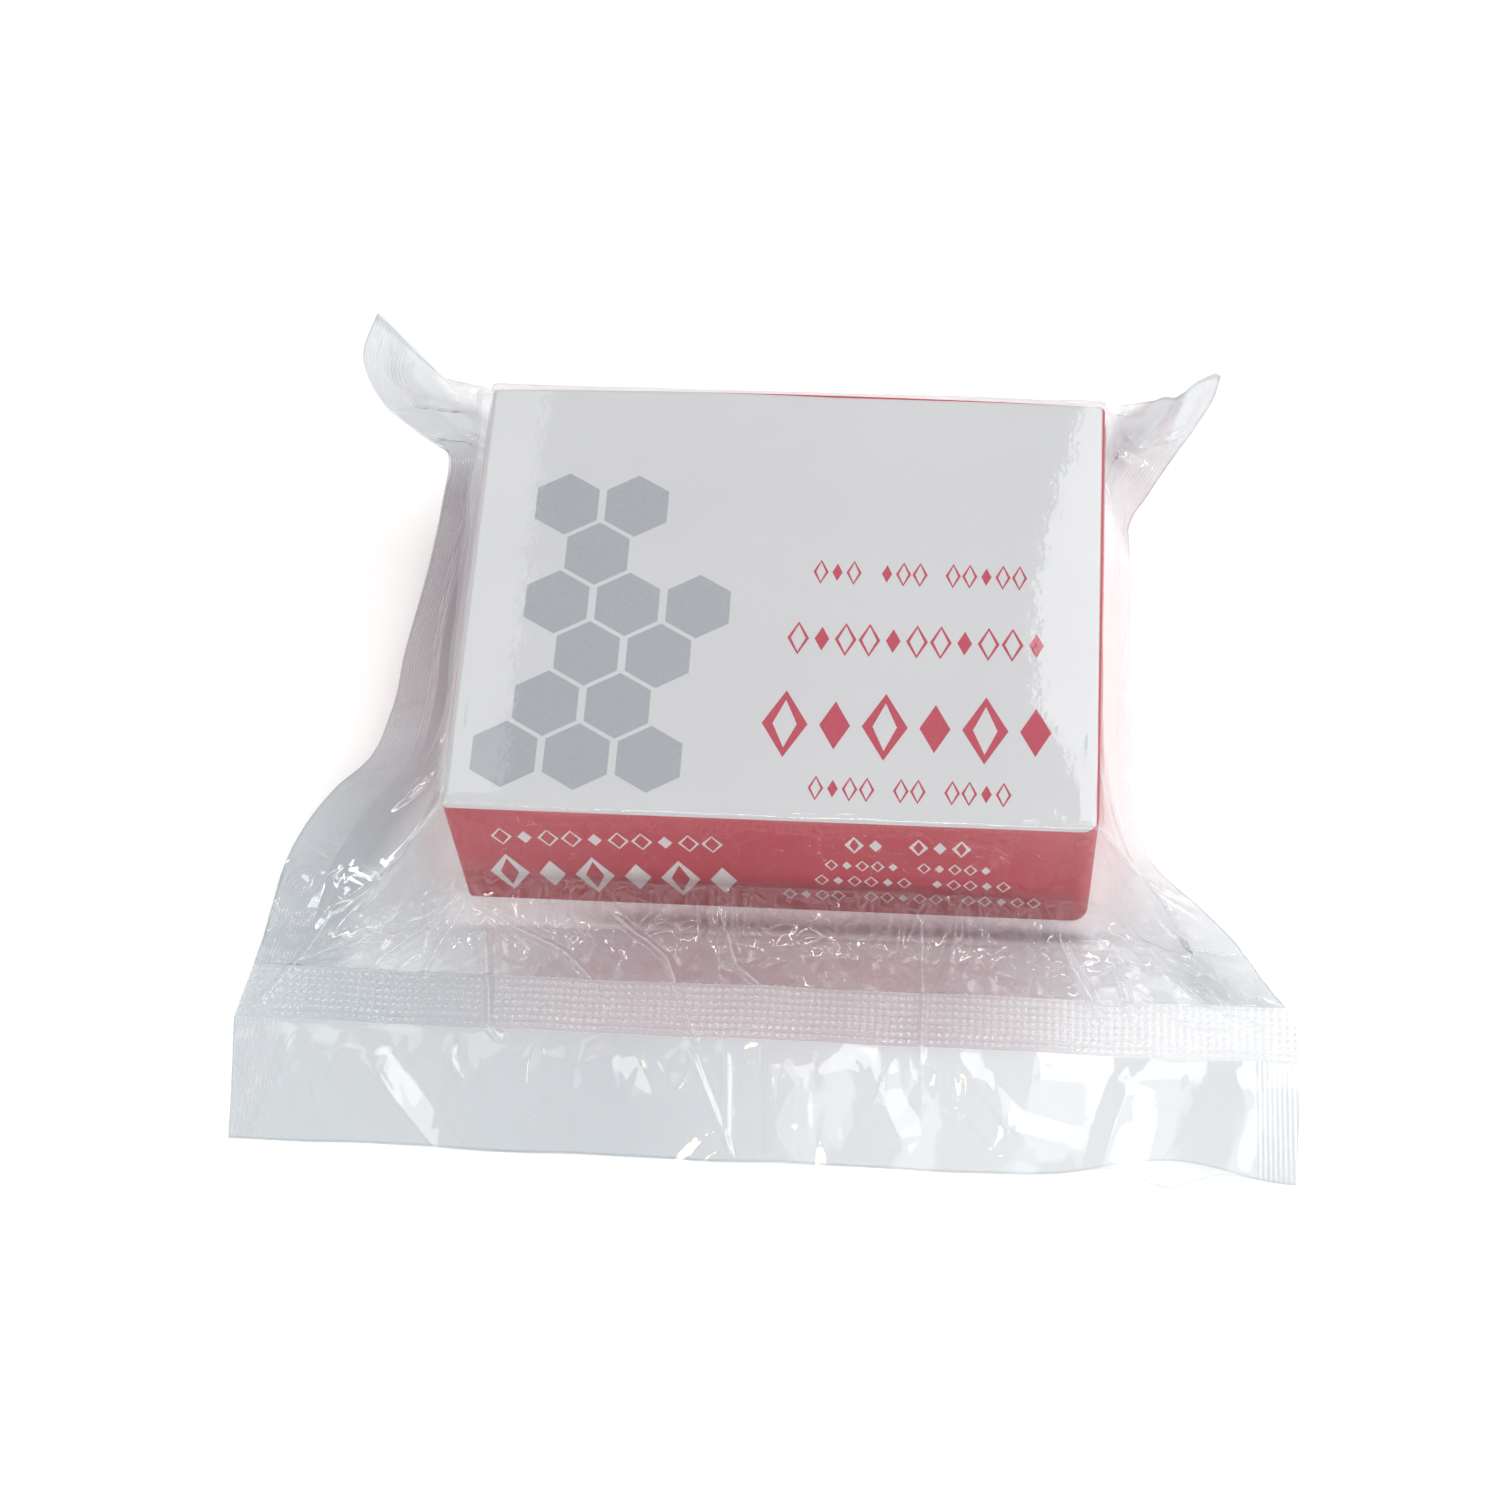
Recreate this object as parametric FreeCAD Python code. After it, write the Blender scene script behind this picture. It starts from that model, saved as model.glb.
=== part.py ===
"""Sealed pack of microscope slides: a printed card box, vacuum-sealed in a clear film pouch.

Millimetres, +Z up, +Y to the back. The origin is on the resting surface, under the middle of the box.
The pouch is two webs of film, welded to each other along both sides, along the back end and across
the front. Each web is a patchwork of folded panels, because film under vacuum creases along lines:
flat panels on the box and on the surface, and ruled panels between flowing lines where it hangs
free. The two webs share one face in the welds and fins. Every patchwork is then given the film's
thickness on its outer side.

Four lines carry the form along each side of the pouch, from its back end to its front skirt:
the tip, which is the outer edge of the side weld, the root, where the two webs meet, and the
box's upper and lower edge.
"""
import FreeCAD, Part
import math
import os

from FreeCAD import Vector

os.makedirs("parts", exist_ok=True)

# ---- box: a full-depth card lid pushed down over a card tray
BOX_X, BOX_Y, BOX_Z = 81.0, 62.0, 27.0
EDGE_ROUND = 0.8            # card edges of the lid
CRUSHED_CORNER = 2.2        # the knocked front right corner
BACK_BOW = 0.6              # the back wall bulges out by this much
LID_BOARD = 0.7             # lid wall seen from below
LID_GAP = 0.35              # gap between the lid wall and the tray
RIM_DEPTH = 1.4             # how deep the gap is cut
TRAY_SET_BACK = 0.3         # the tray's floor sits this far above the lid's rim

# ---- pouch: film, welds and lengths
PLY = 0.12                  # thickness of one web
MITRE_LIMIT = 2.5           # in a sharp fold the film's outer face stays within this many plies
SLACK = 0.14                # how far a web stands off the box wall
END_WELD = 7.5              # width of the front weld
SKIRT = 16.5                # film beyond the front weld
FRONT_GAP = 11.0            # from the box's front wall to the front weld
FIN_HEIGHT = 13.5           # height on the side walls at which the webs meet
BACK_HEIGHT = 25.0          # height on the back wall at which the webs meet

# ---- gathers of the top web between the box and the front weld
WALL_FOOT = 7.0             # height at which the top web leaves the front wall
GATHERS = 34                # folds across the front
GATHER_HEIGHT = 1.3
GATHER_HALF_WIDTH = 54.5    # half the width of the gathers along the front weld
GATHER_SWAY = 0.8           # how far a fold wanders sideways
SAG = ((0.28, 1.6, -2.6), (0.62, 0.4, -1.5))    # share of the way out, and how far back and down the web sags

HALF_X = BOX_X / 2 + SLACK
FRONT_Y = -BOX_Y / 2 - SLACK
BACK_Y = BOX_Y / 2 + SLACK + BACK_BOW
BOX_BASE = PLY              # the box stands on the lower web
BOX_TOP = BOX_BASE + BOX_Z
LID_TOP = BOX_TOP + 0.02    # underside of the web over the box
FLAT = PLY                  # height of the face that the webs share where they lie on the surface
WELD_IN_Y = FRONT_Y - FRONT_GAP
WELD_OUT_Y = WELD_IN_Y - END_WELD
SKIRT_Y = WELD_OUT_Y - SKIRT
CREASE_Y = FRONT_Y - 0.5    # where the folds from the box's front corners reach the root line


# ---------------------------------------------------------------- small helpers
def mix(a, b, share):
    return a + (b - a) * share


def run(start, end, count):
    """A straight line of count points."""
    return [mix(Vector(start), Vector(end), k / (count - 1)) for k in range(count)]


def flowing(points, count):
    """A smooth line of count points through the points given."""
    curve = Part.BSplineCurve()
    curve.interpolate([Vector(p) for p in points])
    return [Vector(p) for p in curve.toShape().discretize(count)]


def mirrored(point):
    return Vector(-point.x, point.y, point.z)


# ---------------------------------------------------------------- the box
def box_outline(shrink=0.0):
    """Plan of the lid, with a back wall that bows out."""
    x, y = BOX_X / 2 - shrink, BOX_Y / 2 - shrink
    front_left, front_right = Vector(-x, -y), Vector(x, -y)
    back_left, back_right = Vector(-x, y), Vector(x, y)
    back_middle = Vector(0, y + BACK_BOW)
    return Part.Wire([
        Part.LineSegment(front_left, front_right).toShape(),
        Part.LineSegment(front_right, back_right).toShape(),
        Part.Arc(back_right, back_middle, back_left).toShape(),
        Part.LineSegment(back_left, front_left).toShape(),
    ])


def prism(wire, base, height):
    face = Part.Face(wire)
    face.translate(Vector(0, 0, base))
    return face.extrude(Vector(0, 0, height))


def carton():
    """The closed box as one solid, with the rim of the lid and the tray's floor on its underside."""
    body = prism(box_outline(), BOX_BASE, BOX_Z)
    upright = [edge for edge in body.Edges if edge.BoundBox.ZLength > BOX_Z / 2]
    knocked = [edge for edge in upright if edge.CenterOfMass.x > 0 and edge.CenterOfMass.y < 0]
    body = body.makeFillet(CRUSHED_CORNER, knocked)
    upright = [edge for edge in body.Edges if edge.BoundBox.ZLength > BOX_Z / 2]
    sharp = [edge for edge in upright if edge.CenterOfMass.x < 0 or edge.CenterOfMass.y > 0]
    body = body.makeFillet(EDGE_ROUND, sharp)
    rim = [edge for edge in body.Edges if edge.BoundBox.ZMin > BOX_TOP - EDGE_ROUND / 2]
    body = body.makeFillet(EDGE_ROUND, rim)

    inside = prism(box_outline(LID_BOARD), BOX_BASE - 1, 1 + RIM_DEPTH)
    tray = prism(box_outline(LID_BOARD + LID_GAP), BOX_BASE + TRAY_SET_BACK, RIM_DEPTH)
    return body.cut(inside.cut(tray)).Solids[0]


# ---------------------------------------------------------------- the lines along each side
# Each line is a list of stretches, and neighbouring stretches share their end point:
# end fin, back corner, along the box, to the front corner's crease, past it, and to the front weld.
STRETCHES = (5, 6, 5, 6, 5, 6)
END_FIN, CORNER, ALONG, TO_FRONT, WALL, FRONT = range(len(STRETCHES))
CREASED = (END_FIN, CORNER, WALL, FRONT)    # where the film is crumpled into small flat facets


def in_stretches(*lines):
    """The stretches of one line, checked against the number of points that each must have."""
    assert tuple(len(line) for line in lines) == STRETCHES
    return list(lines)


def left_tip():
    """Outer edge of the left weld: the ear, the sloping fin beside the box, the flare."""
    ear = flowing([(-55.5, 37.0, 35.0), (-58.2, 34.8, 28.5), (-57.2, 32.8, 22.5)], 5)
    corner = flowing([ear[-1], (-54.0, 31.6, 16.5), (-50.2, 29.4, 11.0), (-49.0, 25.0, 9.0)], 6)
    beside = flowing([corner[-1], (-49.8, 14, 8.3), (-51.6, 1, 8), (-52.3, -8, 8)], 5)
    flare = flowing([beside[-1], (-54.3, -15.2, 8.2), (-58.6, -19.6, 7.4), (-62.4, -25.0, 6.0)], 6)
    past = flowing([flare[-1], (-64.6, -30.0, 4.4), (-65.7, -34.6, 2.6)], 5)
    return in_stretches(ear, corner, beside, flare, past, run(past[-1], (-67.4, WELD_IN_Y, FLAT), 6))


def left_root():
    """Where the webs meet on the left: up the back corner, along the wall, out to the weld."""
    ear = flowing([(-47.0, 31.9, 27.8), (-46.6, 32.1, 25.4), (-45.8, 32.1, 22.6)], 5)
    corner = flowing([ear[-1], (-43.4, 31.6, 18.4), (-41.4, 28.8, 14.6), (-HALF_X, 25, FIN_HEIGHT)], 6)
    beside = run(corner[-1], (-HALF_X, -8, FIN_HEIGHT), 5)
    flare = flowing([beside[-1], (-42.4, -18.5, 12.0), (-46.6, -26.5, 8.6), (-51.0, CREASE_Y, 5.6)], 6)
    past = flowing([flare[-1], (-54.0, -34.6, 3.6), (-57.0, -37.6, 1.9)], 5)
    return in_stretches(ear, corner, beside, flare, past, run(past[-1], (-61, WELD_IN_Y, FLAT), 6))


def right_tip():
    """Outer edge of the right weld; its fin is folded down against the wall."""
    ear = flowing([(55.4, 34.5, 31.5), (54.6, 32.0, 25.0), (52.8, 31.2, 20.0)], 5)
    corner = flowing([ear[-1], (50.0, 29.6, 15.0), (47.2, 26.4, 10.0), (45.6, 22.0, 6.0)], 6)
    beside = flowing([corner[-1], (45.4, 12, 3.2), (45.8, 0, 2.0), (46.0, -12, 2.0)], 5)
    flare = flowing([beside[-1], (46.4, -20.0, 2.6), (48.4, -27.0, 3.4), (52.8, -31.2, 3.8)], 6)
    past = flowing([flare[-1], (57.2, -34.4, 3.4), (60.8, -37.8, 2.4)], 5)
    return in_stretches(ear, corner, beside, flare, past, run(past[-1], (65.8, WELD_IN_Y, FLAT), 6))


def right_root():
    """Where the webs meet on the right."""
    ear = flowing([(46.8, 32.4, 26.6), (46.2, 32.2, 24.4), (45.2, 31.9, 21.8)], 5)
    corner = flowing([ear[-1], (43.2, 31.2, 18.0), (41.4, 28.4, 14.6), (HALF_X, 24, FIN_HEIGHT)], 6)
    beside = run(corner[-1], (HALF_X, -14, FIN_HEIGHT), 5)
    flare = flowing([beside[-1], (41.6, -21.5, 12.4), (44.4, -27.8, 9.0), (48.4, CREASE_Y, 5.6)], 6)
    past = flowing([flare[-1], (52.0, -34.6, 3.4), (55.6, -37.6, 1.8)], 5)
    return in_stretches(ear, corner, beside, flare, past, run(past[-1], (60.5, WELD_IN_Y, FLAT), 6))


def end_fin_edge():
    """The web's line at the box's left edge on the back weld, which is folded down behind the box."""
    middle = Vector(-HALF_X + 1.0, BACK_Y + 1.6, 22.0)
    return flowing([(-HALF_X + 2.4, BACK_Y + 4.0, 18.0), middle, (-HALF_X, BACK_Y, BACK_HEIGHT)], STRETCHES[0])


def upper_edge():
    """The top web's line at the box's left edge: over the box and down the front wall."""
    back = Vector(-HALF_X, BACK_Y, LID_TOP)
    front = Vector(-HALF_X, FRONT_Y, LID_TOP)
    turn = Vector(-HALF_X, -7, LID_TOP)
    foot = Vector(-HALF_X, FRONT_Y, WALL_FOOT)
    return in_stretches(end_fin_edge(), run(end_fin_edge()[-1], back, 6), run(back, turn, 5), run(turn, front, 6),
                        run(front, foot, 5), gather_line(0))


def lower_edge():
    """The lower web's line at the box's left edge: down the back wall and out along the surface."""
    back = Vector(-HALF_X, BACK_Y, FLAT)
    turn = Vector(-HALF_X, -7, FLAT)
    front = Vector(-HALF_X, FRONT_Y, FLAT)
    out = Vector(-HALF_X - 6, FRONT_Y - 4, FLAT)
    weld = Vector(-GATHER_HALF_WIDTH, WELD_IN_Y, FLAT)
    return in_stretches(end_fin_edge(), run(end_fin_edge()[-1], back, 6), run(back, turn, 5), run(turn, front, 6),
                        run(front, out, 5), run(out, weld, 6))


def gather_line(number):
    """One fold of the top web, from the foot of the front wall to the front weld."""
    share = number / GATHERS
    top = Vector(mix(-HALF_X, HALF_X, share), FRONT_Y, WALL_FOOT)
    weld = Vector(mix(-GATHER_HALF_WIDTH, GATHER_HALF_WIDTH, share), WELD_IN_Y, FLAT)
    inner = 0 < number < GATHERS
    rise = GATHER_HEIGHT * (0.7 + 0.3 * math.sin(2.3 * number)) if inner and number % 2 else 0.0
    sway = GATHER_SWAY * math.sin(1.7 * number) if inner else 0.0
    low, out = [mix(top, weld, share) + Vector(0, back, down + rise) for share, back, down in SAG]
    return flowing([top, low + Vector(sway, 0, 0), out - Vector(sway, 0, 0), weld], STRETCHES[-1])


# ---------------------------------------------------------------- patchworks
class Patchwork:
    """Folded panels that share their edges: flat outlines, triangles, and strips between two lines."""

    def __init__(self):
        self.flats, self.triangles, self.strips, self.border = [], [], [], []

    def flat(self, *lines):
        """A flat panel inside lines that follow each other head to tail."""
        self.flats.append(lines)

    def strip(self, line_a, line_b):
        self.strips.append((line_a, line_b))

    def creased(self, line_a, line_b):
        """The panel between two lines as triangles, for film that is crumpled and not curved."""
        for a, b, c, d in zip(line_a, line_a[1:], line_b[1:], line_b):
            self.triangles += [(a, b, d), (b, c, d)]

    def facings(self):
        """For every point, the normals of the panels round it: of the bent ones, and of the flat ones."""
        bent, flat = {}, {}
        cells = [(a, b, c, d) for one, two in self.strips for a, b, c, d in zip(one, one[1:], two[1:], two)]
        for cell in cells + self.triangles:
            normal = (cell[2] - cell[0]).cross(cell[-1] - cell[1])
            for point in cell:
                bent.setdefault(key(point), []).append(normal.normalize())
        for lines in self.flats:
            normal = outline_normal(lines)
            for line in lines:
                for point in line:
                    flat.setdefault(key(point), []).append(normal)
        return bent, flat

    def thickened(self, side):
        """The solid between the patchwork and its copy one ply away on the given side."""
        bent, flat = self.facings()

        def away(point):
            place = key(point)
            return point + mitre(bent.get(place, []), flat.get(place, [])) * (PLY * side)

        faces = []
        for move in (Vector, away):
            faces += [flat_face([[move(p) for p in line] for line in lines]) for lines in self.flats]
            faces += [flat_face(pairs([move(p) for p in (a, b, c, a)])) for a, b, c in self.triangles]
            faces += [strip_face([move(p) for p in a], [move(p) for p in b]) for a, b in self.strips]
        for line in self.border:
            faces.append(strip_face(line, [away(p) for p in line]))
        shell = Part.makeShell(faces)
        shell.sewShape()
        solid = Part.makeSolid(shell.Shells[0])
        if solid.Volume < 0:
            solid.reverse()
        return solid


def pairs(points):
    """The straight lines from each point to the next."""
    return [[a, b] for a, b in zip(points, points[1:])]


def key(point):
    return (round(point.x, 4), round(point.y, 4), round(point.z, 4))


def outline_normal(lines):
    """Unit normal of a flat outline."""
    centre = lines[0][0]
    total = Vector()
    for line in lines:
        for a, b in zip(line, line[1:]):
            total += (a - centre).cross(b - centre)
    return total.normalize()


def mitre(bent, flat):
    """The vector that is one unit along every facing, so that panels keep an even thickness."""

    def met(vector, facings):
        for _ in range(60):
            for normal in facings:
                vector = vector + normal * (1 - normal.dot(vector))
        return vector

    vector = met(Vector(), bent + flat)
    return met(vector * min(1.0, MITRE_LIMIT / vector.Length), flat)


def is_straight(line):
    chord = line[-1] - line[0]
    return all((point - line[0]).cross(chord).Length < 1e-6 for point in line)


def spline(line):
    """A smooth curve through the line's points, evenly timed so that lines of a panel match."""
    smooth = Part.BSplineCurve()
    smooth.interpolate(Points=line, Parameters=[float(k) for k in range(len(line))])
    return smooth


def curve(line):
    if is_straight(line):
        return Part.LineSegment(line[0], line[-1]).toShape()
    return spline(line).toShape()


def flat_face(lines):
    return Part.Face(Part.Wire([curve(line) for line in lines]))


def strip_face(line_a, line_b):
    """A panel between two lines: a plane where it is flat and straight, and ruled elsewhere."""
    corners = [line_a[0], line_a[-1], line_b[-1], line_b[0]]
    normal = (corners[2] - corners[0]).cross(corners[3] - corners[1])
    lies_flat = abs((corners[1] - corners[0]).dot(normal)) < 1e-9 * normal.Length
    if lies_flat and is_straight(line_a) and is_straight(line_b):
        return flat_face([corners[:2], corners[1:3], corners[2:], [corners[3], corners[0]]])
    rails = [spline(line) for line in (line_a, line_b)]
    ruled = Part.BSplineSurface()
    ruled.buildFromPolesMultsKnots([rail.getPoles() for rail in rails], [2, 2], rails[0].getMultiplicities(),
                                   [0.0, 1.0], rails[0].getKnots(), False, False, 1, rails[0].Degree)
    return ruled.toShape()


# ---------------------------------------------------------------- the two webs
def web(edge, gathered):
    """One web of the pouch, from its end weld at the back to its skirt."""
    left = [left_tip(), left_root(), edge]
    right = [right_tip(), right_root(), [[mirrored(point) for point in stretch] for stretch in edge]]
    sheet = Patchwork()
    for side in (left, right):
        for outer, inner in zip(side, side[1:]):
            for number in range(len(STRETCHES)):
                pair = (outer[number], inner[number])
                panel = sheet.creased if number in CREASED else sheet.strip
                panel(*(pair if side is left else pair[::-1]))
        for number in range(len(STRETCHES)):
            sheet.border += edges(side[0], number)
    middle_panels(sheet, left[2], right[2], gathered)
    weld_and_skirt(sheet, left, right, gathered)
    for row in ([line[0][0] for line in left], [line[0][0] for line in right], [left[2][0][0], right[2][0][0]]):
        sheet.border += pairs(row)
    return sheet


def edges(line, number):
    """One stretch of a line: its straight pieces where the film is creased, and elsewhere one curve."""
    return pairs(line[number]) if number in CREASED else [line[number]]


def middle_panels(sheet, left_edge, right_edge, gathered):
    """The panels between the box's left and right edges."""

    def across(first, last):
        """A flat panel from the left edge to the right one, over the stretches from first to last."""
        stretches = range(first, last + 1)
        down = [line for number in stretches for line in edges(left_edge, number)]
        up = [line[::-1] for number in stretches for line in edges(right_edge, number)][::-1]
        return down, up, [right_edge[first][0], left_edge[first][0]]

    sheet.creased(left_edge[END_FIN], right_edge[END_FIN])
    down, up, start = across(CORNER, CORNER)
    sheet.flat(*down, [left_edge[CORNER][-1], right_edge[CORNER][-1]], *up, start)
    down, up, start = across(ALONG, TO_FRONT)
    sheet.flat(*down, [left_edge[TO_FRONT][-1], right_edge[TO_FRONT][-1]], *up, start)
    if not gathered:
        down, up, start = across(WALL, FRONT)
        sheet.flat(*down, [left_edge[FRONT][-1], right_edge[FRONT][-1]], *up, start)
        return
    folds = [left_edge[FRONT]] + [gather_line(number) for number in range(1, GATHERS)] + [right_edge[FRONT]]
    down, up, start = across(WALL, WALL)
    sheet.flat(*down, *pairs([fold[0] for fold in folds]), *up, start)
    for fold, following in zip(folds, folds[1:]):
        sheet.creased(fold, following)


def weld_and_skirt(sheet, left, right, gathered):
    """The flat front weld, and the skirt beyond it."""
    line = [column[-1][-1] for column in left]
    if gathered:
        line += [gather_line(number)[-1] for number in range(1, GATHERS)]
    line += [column[-1][-1] for column in right[::-1]]
    weld_left, weld_right = Vector(-69, WELD_OUT_Y, FLAT), Vector(67.6, WELD_OUT_Y, FLAT)
    skirt_left, skirt_right = Vector(-67.3, SKIRT_Y, FLAT), Vector(66.6, SKIRT_Y, FLAT)
    sheet.flat(*pairs(line[::-1] + [weld_left, weld_right, line[-1]]))
    sheet.flat(*pairs([weld_right, weld_left, skirt_left, skirt_right, weld_right]))
    sheet.border += pairs([line[0], weld_left, skirt_left, skirt_right, weld_right, line[-1]])


def build():
    pieces = {
        "carton": carton(),
        "upper_film": web(upper_edge(), True).thickened(1),
        "lower_film": web(lower_edge(), False).thickened(-1),
    }
    for name, shape in pieces.items():
        box = shape.BoundBox
        print(name, shape.ShapeType, shape.isValid(), len(shape.Faces), "faces", round(shape.Volume, 1), "mm3",
              [round(v, 2) for v in (box.XMin, box.XMax, box.YMin, box.YMax, box.ZMin, box.ZMax)])
        shape.exportStep("parts/" + name + ".step")


build()
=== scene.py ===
"""Looks of the sealed pack of microscope slides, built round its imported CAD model.

Film is worked out in millimetres and written in metres. The lines that carry the pouch's form are
those of the CAD model. Each web is a grid of points: its rows run along the lines and its columns
across them. It is crumpled by facets, which are flat between scattered points, because thin film
creases into flat pieces with sharp lines between them.
"""
import math

import bpy
import numpy as np
from mathutils import Matrix, Vector


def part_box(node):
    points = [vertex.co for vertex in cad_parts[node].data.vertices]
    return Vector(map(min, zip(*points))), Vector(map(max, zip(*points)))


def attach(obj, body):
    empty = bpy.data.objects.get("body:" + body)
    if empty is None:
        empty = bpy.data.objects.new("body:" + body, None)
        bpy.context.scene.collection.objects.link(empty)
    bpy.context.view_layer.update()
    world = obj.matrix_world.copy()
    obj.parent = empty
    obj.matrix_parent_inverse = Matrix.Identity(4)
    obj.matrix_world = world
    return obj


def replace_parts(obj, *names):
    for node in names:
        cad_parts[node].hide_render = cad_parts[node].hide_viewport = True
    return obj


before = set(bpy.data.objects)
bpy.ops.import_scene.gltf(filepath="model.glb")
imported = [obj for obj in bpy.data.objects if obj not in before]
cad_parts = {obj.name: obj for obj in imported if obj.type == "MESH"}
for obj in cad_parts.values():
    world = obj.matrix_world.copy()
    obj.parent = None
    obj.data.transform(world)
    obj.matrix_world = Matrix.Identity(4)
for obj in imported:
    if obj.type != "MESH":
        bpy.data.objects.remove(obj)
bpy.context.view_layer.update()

MM = 0.001

# ---- sizes in millimetres, as in the CAD model
low, high = [np.array(corner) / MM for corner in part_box("carton")]
BOX_CENTRE, BOX_HALF = (low + high) / 2, (high - low) / 2
BOX_EDGE = 0.8              # radius of the card's edges
SLACK = 0.14                # how far a web stands off the box wall
PLY = 0.12                  # thickness of one web
FLAT = PLY                  # height of the face that the webs share where they lie on the surface
END_WELD = 7.5              # width of the front weld
SKIRT = 16.5                # film beyond the front weld
FRONT_GAP = 11.0            # from the box's front wall to the front weld
FIN_HEIGHT = 13.5           # height on the side walls at which the webs meet
BACK_HEIGHT = 25.0          # height on the back wall at which the webs meet
WALL_FOOT = 7.0             # height at which the top web leaves the front wall
GATHER_HALF_WIDTH = 54.5    # half the width of the gathers along the front weld
HALF_X = BOX_HALF[0] + SLACK
FRONT_Y = low[1] - SLACK
BACK_Y = high[1] + SLACK
LID_TOP = high[2] + 0.02    # underside of the web over the box
TURN_Y = -7                 # where the left fin leaves the box's wall
WELD_IN_Y = FRONT_Y - FRONT_GAP
WELD_OUT_Y = WELD_IN_Y - END_WELD
WELD_IN_X, WELD_OUT_X, SKIRT_X = (-67.4, 65.8), (-69.0, 67.6), (-67.3, 66.6)    # left and right ends of these edges
CREASE_Y = FRONT_Y - 0.5    # where the folds from the box's front corners reach the root line

# ---- the side welds' ribs and the front weld's dots
SIDE_WELD = 6.0             # width of a side weld
RIB_PITCH = 0.46
RIB_HEIGHT = 0.05
WAFFLE = 0.98               # pitch of the dots

# ---- grids
END_FIN, CORNER, ALONG, TO_FRONT, WALL, FRONT = range(6)    # the stretches of every line, from its back end
ROWS = (16, 26, 44, 48, 44, 110)            # steps along each stretch
STARTS = np.cumsum((0,) + ROWS)             # the row at which each stretch starts
UPPER_STEPS = (112, 60, 360, 60, 112)       # steps across fin, side panel, box, side panel and fin
LOWER_STEPS = (40, 24, 90, 24, 40)


# ---------------------------------------------------------------- small helpers
def mix(a, b, share):
    return a + (b - a) * share


def faded(value, low_end, high_end):
    """0 below low_end, 1 above high_end, and smooth between."""
    t = np.clip((value - low_end) / (high_end - low_end), 0, 1)
    return t * t * (3 - 2 * t)


def hump(value, centre, width):
    """1 at the centre, and falling off smoothly to both sides."""
    return np.exp(-((value - centre) / width) ** 2)


# ---------------------------------------------------------------- lines
def chord_lengths(points):
    """How far it is to each point of a line from its first one."""
    return np.concatenate([[0.0], np.cumsum(np.linalg.norm(np.diff(points, axis=0), axis=1))])


def resampled(points, steps):
    """The same line with evenly spaced points."""
    lengths = chord_lengths(points)
    even = np.linspace(0, lengths[-1], steps + 1)
    return np.column_stack([np.interp(even, lengths, points[:, axis]) for axis in range(3)])


FINE_STEPS = 400            # points of a stretch before it is evenly stepped


def flowing(stretches):
    """A smooth line through the points of all stretches, evenly stepped within each.

    The first stretch begins with the line's first point, and each other one follows the last."""
    points = np.array([point for stretch in stretches for point in stretch], float)
    knots = chord_lengths(points)
    slopes = np.gradient(points, knots, axis=0)
    ends = np.cumsum([len(stretch) for stretch in stretches]) - 1
    line = []
    for first, last, steps in zip([0, *ends], ends, ROWS):
        at = np.linspace(knots[first], knots[last], FINE_STEPS)
        span = np.clip(np.searchsorted(knots, at, "right") - 1, 0, len(knots) - 2)
        length = (knots[span + 1] - knots[span])[:, None]
        t = (at - knots[span])[:, None] / length
        curve = ((2 * t ** 3 - 3 * t ** 2 + 1) * points[span] + (t ** 3 - 2 * t ** 2 + t) * length * slopes[span]
                 + (3 * t ** 2 - 2 * t ** 3) * points[span + 1] + (t ** 3 - t ** 2) * length * slopes[span + 1])
        line.append(resampled(curve, steps)[0 if first == 0 else 1:])
    return np.vstack(line)


def folded(points):
    """A line of straight stretches between the points given."""
    line = [resampled(np.array(pair, float), steps)[1:] for pair, steps in zip(zip(points, points[1:]), ROWS)]
    return np.vstack([np.array(points[:1], float), *line])


def left_tip():
    """Outer edge of the left weld: the ear, the sloping fin beside the box, the flare."""
    return flowing([
        [(-55.5, 37.0, 35.0), (-58.2, 34.8, 28.5), (-57.2, 32.8, 22.5)],
        [(-53.6, 31.9, 16.2), (-50.4, 31.3, 12.8), (-48.5, 31.0, 11.2), (-48.3, 30.2, 10.6), (-48.8, 25.0, 9.2)],
        [(-49.8, 14, 8.3), (-51.6, 1, 8), (-52.3, -8, 8)],
        [(-54.3, -15.2, 8.2), (-58.6, -19.6, 7.4), (-62.4, -25.0, 6.0)],
        [(-64.6, -30.0, 4.4), (-65.7, -34.6, 2.6)],
        [(WELD_IN_X[0], WELD_IN_Y, FLAT)],
    ])


def left_root():
    """Where the webs meet on the left: up the back corner, along the wall, out to the weld."""
    return flowing([
        [(-47.0, 31.9, 27.8), (-46.6, 32.1, 25.4), (-45.8, 32.1, 22.6)],
        [(-43.4, 31.6, 18.4), (-41.4, 28.8, 14.6), (-HALF_X, 25, FIN_HEIGHT)],
        [(-HALF_X, 8, FIN_HEIGHT), (-HALF_X, -8, FIN_HEIGHT)],
        [(-42.4, -18.5, 12.0), (-46.6, -26.5, 8.6), (-51.0, CREASE_Y, 5.6)],
        [(-54.0, -34.6, 3.6), (-57.0, -37.6, 1.9)],
        [(-61.0, WELD_IN_Y, FLAT)],
    ])


def right_tip():
    """Outer edge of the right weld, whose fin is folded down against the wall."""
    return flowing([
        [(55.4, 34.3, 31.0), (54.7, 33.2, 25.6), (52.6, 31.6, 21.4)],
        [(49.6, 28.9, 16.6), (46.8, 26.0, 12.4), (44.7, 23.7, 9.2), (44.9, 22.8, 6.8), (45.3, 20.6, 4.0)],
        [(45.4, 12, 3.0), (45.8, 0, 2.0), (46.0, -12, 2.2)],
        [(46.4, -19.0, 3.2), (49.4, -26.4, 6.0), (54.8, -31.6, 6.4)],
        [(59.0, -35.4, 5.2), (62.2, -38.9, 3.2)],
        [(WELD_IN_X[1], WELD_IN_Y, FLAT)],
    ])


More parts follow.
